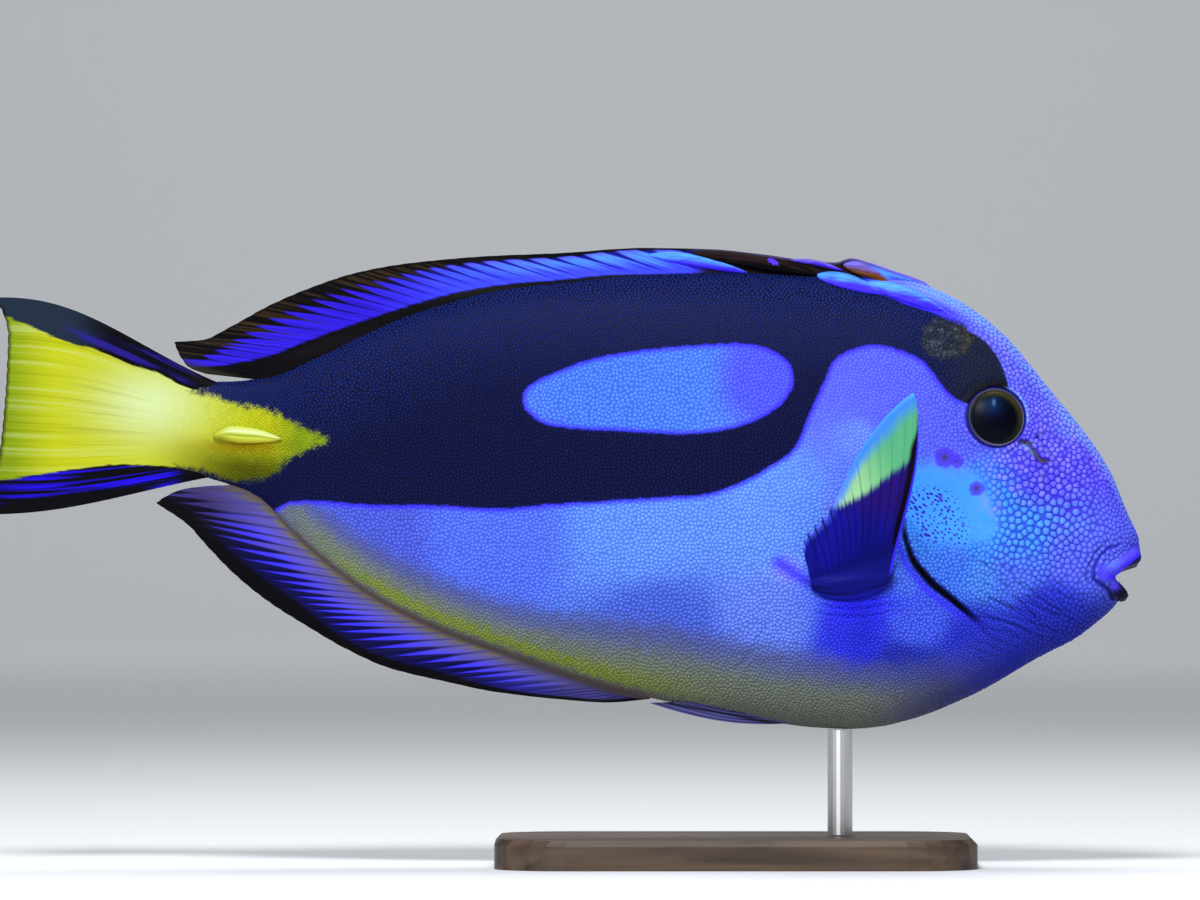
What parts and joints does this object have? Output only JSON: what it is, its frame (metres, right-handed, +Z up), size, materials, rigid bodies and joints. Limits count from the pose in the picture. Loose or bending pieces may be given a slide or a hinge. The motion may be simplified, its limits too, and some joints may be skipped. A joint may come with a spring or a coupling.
{
  "type": "regal blue tang fish model",
  "caption": "Still, life-size model of a regal blue tang (Paracanthurus hepatus) swimming level, its side fins raised, held by a plain flat base and one short rod.",
  "frame": {"origin": "on the floor, under the middle of the model's bounding box", "axes": "+X towards the fish's nose, +Y towards its left side, +Z up"},
  "size_m": [0.2346, 0.0956, 0.1236],
  "materials": {
    "skin": "moist scaly skin, saturated blue with black and yellow markings",
    "eye": "wet, very dark blue pupil in a thin olive and silver iris",
    "fin_blue": "thin ribbed membrane, violet-blue with a black margin",
    "fin_yellow": "thin ribbed membrane, lemon yellow between black and blue lobes",
    "fin_pectoral": "thin ribbed membrane, navy at the root and yellow-green at the tip",
    "tail_spine": "smooth yellow bony blade",
    "stand_board": "dark stained wood, satin",
    "stand_steel": "satin steel rod"
  },
  "bodies": {
    "root": {"head": "skin", "torso": "skin", "tail_peduncle": "skin", "eye_right": "eye", "eye_left": "eye", "dorsal_fin": "fin_blue", "anal_fin": "fin_blue", "caudal_fin": "fin_yellow", "pectoral_fin_right": "fin_pectoral", "pectoral_fin_left": "fin_pectoral", "pelvic_fin_right": "fin_blue", "pelvic_fin_left": "fin_blue", "caudal_spine_right": "tail_spine", "caudal_spine_left": "tail_spine", "stand_base": "stand_board", "stand_rod": "stand_steel"}
  },
  "joints": []
}
